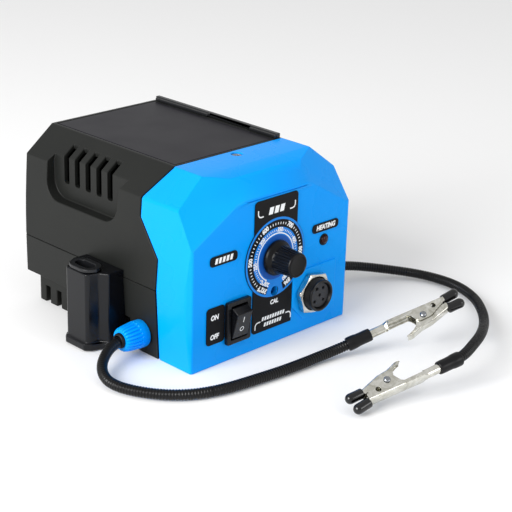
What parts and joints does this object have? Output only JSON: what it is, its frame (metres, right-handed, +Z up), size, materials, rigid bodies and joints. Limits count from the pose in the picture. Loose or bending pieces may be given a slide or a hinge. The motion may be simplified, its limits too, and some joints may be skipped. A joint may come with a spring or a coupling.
{
  "type": "cordless soldering station",
  "caption": "Battery-powered soldering station with a dial, rocker switch, round iron socket, iron holder and two bendable helping-hand arms with clips.",
  "frame": {"origin": "on the surface the station stands on, on its left-right centre line, 13 mm behind the flat front panel", "axes": "+X to the right across the front panel, +Y from the panel towards the rear, +Z up"},
  "size_m": [0.2098, 0.2118, 0.0893],
  "materials": {
    "blue_shell": "smooth satin ABS, azure blue",
    "black_case": "fine-textured ABS, dark grey",
    "satin_plate": "smooth satin, dark grey with a purple cast",
    "label": "printed adhesive film, black with white marks",
    "control_black": "satin black",
    "insert_grey": "moulded grey insulator",
    "lens_red": "dark red translucent lens",
    "board": "green solder mask",
    "aluminium": "extruded",
    "steel": "zinc-plated steel",
    "nickel": "nickel plate",
    "brass": "bare brass",
    "neck": "black-coated wound steel, finely ringed",
    "vinyl": "glossy dipped vinyl and heat-shrink"
  },
  "bodies": {
    "station": {"front_shell": "blue_shell", "top_screw": "steel", "upper_housing": "black_case", "lower_housing": "black_case", "top_plate": "satin_plate", "top_rail": "black_case", "panel_label": "label", "model_label": "label", "status_label": "label", "switch_label": "label", "pot_body": "steel", "pot_nut": "nickel", "rocker_housing": "control_black", "socket_barrel": "control_black", "socket_nut": "nickel", "socket_insert": "insert_grey", "status_lamp": "lens_red", "trimmer_body": "blue_shell", "circuit_board": "board", "heat_sink": "aluminium", "board_screw_front": "steel", "board_screw_rear": "steel", "battery_shoe": "black_case", "battery_terminal_left": "brass", "battery_terminal_right": "brass", "holder_body": "black_case", "holder_collar": "control_black", "left_gland": "black_case", "left_neck_1": "neck", "right_gland": "black_case", "right_neck_1": "neck"},
    "knob": {"knob": "control_black", "pot_shaft": "brass"},
    "rocker": {"rocker": "control_black"},
    "trimmer": {"trimmer_screw": "brass"},
    "left_nut": {"left_gland_nut": "blue_shell"},
    "left_link_2": {"left_neck_2": "neck"},
    "left_link_3": {"left_neck_3": "neck"},
    "left_link_4": {"left_neck_4": "neck"},
    "left_hand": {"left_neck_5": "neck", "left_sleeve": "vinyl", "left_fixed_jaw": "nickel", "left_clip_pin": "steel", "left_clip_spring": "steel", "left_fixed_tip": "vinyl"},
    "left_jaw": {"left_moving_jaw": "nickel", "left_moving_tip": "vinyl"},
    "right_nut": {"right_gland_nut": "blue_shell"},
    "right_link_2": {"right_neck_2": "neck"},
    "right_link_3": {"right_neck_3": "neck"},
    "right_link_4": {"right_neck_4": "neck"},
    "right_hand": {"right_neck_5": "neck", "right_sleeve": "vinyl", "right_fixed_jaw": "nickel", "right_clip_pin": "steel", "right_clip_spring": "steel", "right_fixed_tip": "vinyl"},
    "right_jaw": {"right_moving_jaw": "nickel", "right_moving_tip": "vinyl"}
  },
  "joints": [
    {"name": "knob_turn", "type": "hinge", "parent": "station", "child": "knob", "pos_m": [0.0005, -0.02, 0.0438], "axis": [0, -1, 0], "range_deg": [-150, 150]},
    {"name": "power_rocker", "type": "hinge", "parent": "station", "child": "rocker", "pos_m": [-0.0234, -0.0126, 0.0191], "axis": [1, 0, 0], "range_deg": [0, 22]},
    {"name": "calibration_turn", "type": "hinge", "parent": "station", "child": "trimmer", "pos_m": [0.0004, -0.0088, 0.0269], "axis": [0, -1, 0], "range_deg": [-135, 135]},
    {"name": "left_nut_turn", "type": "hinge", "parent": "station", "child": "left_nut", "pos_m": [-0.058, 0.0192, 0.0103], "axis": [-1, 0, 0], "range_deg": [-180, 180]},
    {"name": "left_root_bend", "type": "hinge", "parent": "station", "child": "left_link_2", "pos_m": [-0.07262, 0.01829, 0.00864], "axis": [-0.2441, 0.9697, 0], "range_deg": [-40, 5]},
    {"name": "left_low_bend", "type": "hinge", "parent": "left_link_2", "child": "left_link_3", "pos_m": [-0.07832, -0.021, 0.00285], "axis": [-0.7979, -0.6028, 0], "range_deg": [-5, 30]},
    {"name": "left_mid_bend", "type": "hinge", "parent": "left_link_3", "child": "left_link_4", "pos_m": [-0.03507, -0.03935, 0.00285], "axis": [0, 0, 1], "range_deg": [-10, 5]},
    {"name": "left_end_bend", "type": "hinge", "parent": "left_link_4", "child": "left_hand", "pos_m": [0.01298, -0.04412, 0.00417], "axis": [-0.4945, -0.8692, 0], "range_deg": [-15, 30]},
    {"name": "left_jaw_open", "type": "hinge", "parent": "left_hand", "child": "left_jaw", "pos_m": [0.04607, -0.06636, 0.01739], "axis": [0.4851, 0.2279, -0.8442], "range_deg": [0, 25], "stiffness_Nm_per_rad": 0.05, "springref_deg": -28.65},
    {"name": "right_nut_turn", "type": "hinge", "parent": "station", "child": "right_nut", "pos_m": [0.058, 0.0192, 0.0103], "axis": [1, 0, 0], "range_deg": [-180, 180]},
    {"name": "right_root_bend", "type": "hinge", "parent": "station", "child": "right_link_2", "pos_m": [0.07294, 0.01868, 0.00983], "axis": [0, 0, 1], "range_deg": [-5, 35]},
    {"name": "right_low_bend", "type": "hinge", "parent": "right_link_2", "child": "right_link_3", "pos_m": [0.11793, -0.01976, 0.00292], "axis": [-0.9913, -0.1313, 0], "range_deg": [-5, 40]},
    {"name": "right_mid_bend", "type": "hinge", "parent": "right_link_3", "child": "right_link_4", "pos_m": [0.08707, -0.07144, 0.00692], "axis": [0, 0, 1], "range_deg": [-5, 40]},
    {"name": "right_end_bend", "type": "hinge", "parent": "right_link_4", "child": "right_hand", "pos_m": [0.03292, -0.10219, 0.01555], "axis": [0.2483, 0.9687, 0], "range_deg": [-15, 35]},
    {"name": "right_jaw_open", "type": "hinge", "parent": "right_hand", "child": "right_jaw", "pos_m": [-0.0063, -0.08857, 0.00913], "axis": [0.2634, 0.3518, -0.8982], "range_deg": [0, 25], "stiffness_Nm_per_rad": 0.05, "springref_deg": -28.65}
  ]
}
